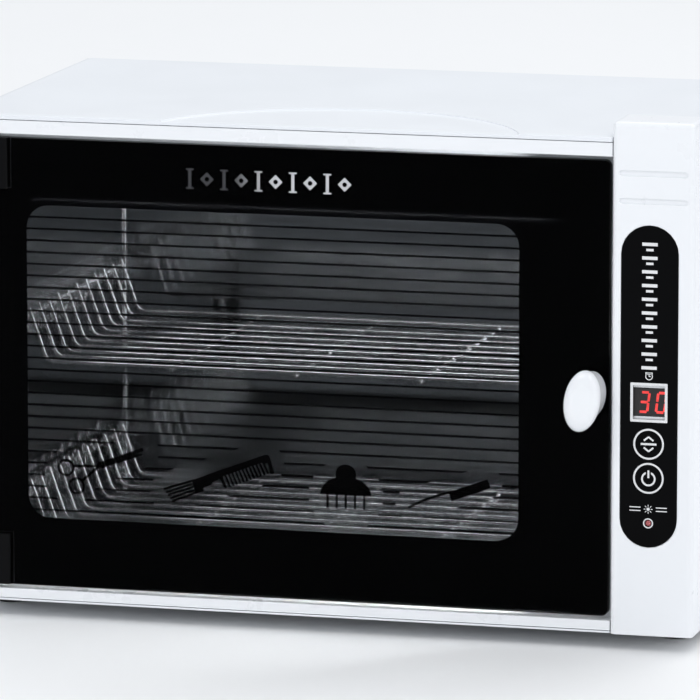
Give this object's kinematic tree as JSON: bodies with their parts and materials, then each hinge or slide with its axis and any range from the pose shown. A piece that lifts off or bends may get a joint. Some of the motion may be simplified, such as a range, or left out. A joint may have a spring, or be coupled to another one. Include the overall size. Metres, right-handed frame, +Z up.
{
  "type": "uv sterilizer cabinet",
  "caption": "White countertop UV sterilizer cabinet with a tinted glass door, an upright control column and welded wire trays in a polished steel chamber.",
  "frame": {"origin": "centre of the bounding box, on the surface that the feet stand on", "axes": "+X to the right along the front, +Y from the door to the back, +Z up"},
  "size_m": [0.356, 0.2224, 0.2461],
  "materials": {
    "white_paint": "white semi-gloss powder coat on sheet steel",
    "white_plastic": "white moulded plastic, satin gloss",
    "overlay_gloss": "glossy black panel",
    "red_lens": "diffused red lens",
    "board_green": "green circuit board",
    "black_plastic": "matt black plastic",
    "tinted_glass": "grey tinted glass, polished edges",
    "black_ink": "black ink fired on the back of the glass",
    "zinc_plate": "zinc plated steel",
    "stainless": "polished stainless sheet, blurred mirror",
    "bright_wire": "bright plated wire",
    "lamp_glass": "clear quartz tube with metal caps",
    "rubber": "soft black rubber"
  },
  "bodies": {
    "cabinet": {"outer_shell": "white_paint", "base_plate": "white_paint", "back_panel": "white_paint", "front_frame": "white_plastic", "control_column": "white_plastic", "control_overlay": "overlay_gloss", "power_led": "red_lens", "control_board": "board_green", "display_module": "black_plastic", "magnet_catch": "black_plastic", "door_bumper_top": "rubber", "door_bumper_bottom": "rubber", "door_switch_body": "black_plastic", "chamber_liner": "stainless", "chamber_support_left": "zinc_plate", "chamber_support_right": "zinc_plate", "tray_rail_left": "stainless", "tray_rail_right": "stainless", "lamp_holder_left": "white_plastic", "lamp_holder_right": "white_plastic", "lamp_reflector": "stainless", "ballast": "white_plastic", "power_inlet": "black_plastic", "foot_front_left": "rubber", "foot_screw_front_left": "zinc_plate", "foot_front_right": "rubber", "foot_screw_front_right": "zinc_plate", "foot_rear_left": "rubber", "foot_screw_rear_left": "zinc_plate", "foot_rear_right": "rubber", "foot_screw_rear_right": "zinc_plate"},
    "door": {"door_glass": "tinted_glass", "door_print": "black_ink", "hinge_clamp_top": "zinc_plate", "hinge_clamp_bottom": "zinc_plate", "hinge_pin_top": "zinc_plate", "hinge_pin_bottom": "zinc_plate", "hinge_washer_top": "white_plastic", "hinge_washer_bottom": "white_plastic", "knob": "white_plastic", "knob_screw": "zinc_plate", "strike_plate": "zinc_plate"},
    "upper_tray": {"upper_tray": "bright_wire"},
    "lower_tray": {"lower_tray": "bright_wire"},
    "select_button": {"select_button": "overlay_gloss"},
    "power_button": {"power_button": "overlay_gloss"},
    "door_switch_plunger": {"door_switch_plunger": "white_plastic"},
    "lamp": {"lamp_tube": "lamp_glass"}
  },
  "joints": [
    {"name": "door_hinge", "type": "hinge", "parent": "cabinet", "child": "door", "pos_m": [-0.163, -0.08975, 0.1218], "axis": [0, 0, -1], "range_deg": [0, 110]},
    {"name": "upper_tray_slide", "type": "slide", "parent": "cabinet", "child": "upper_tray", "axis": [0, -1, 0], "range_m": [0, 0.005]},
    {"name": "lower_tray_slide", "type": "slide", "parent": "cabinet", "child": "lower_tray", "axis": [0, -1, 0], "range_m": [0, 0.005]},
    {"name": "select_press", "type": "slide", "parent": "cabinet", "child": "select_button", "axis": [0, 1, 0], "range_m": [0, 0.0006], "stiffness_N_per_m": 1900},
    {"name": "power_press", "type": "slide", "parent": "cabinet", "child": "power_button", "axis": [0, 1, 0], "range_m": [0, 0.0006], "stiffness_N_per_m": 1900},
    {"name": "door_switch_slide", "type": "slide", "parent": "cabinet", "child": "door_switch_plunger", "axis": [0, -1, 0], "range_m": [0, 0.0025]},
    {"name": "lamp_twist", "type": "hinge", "parent": "cabinet", "child": "lamp", "pos_m": [-0.0141, 0.0074, 0.2008], "axis": [1, 0, 0], "range_deg": [0, 90]}
  ],
  "couplings": [
    {"joint": "door_switch_slide", "follows": "door_hinge", "m_per_rad": 0.0013}
  ]
}
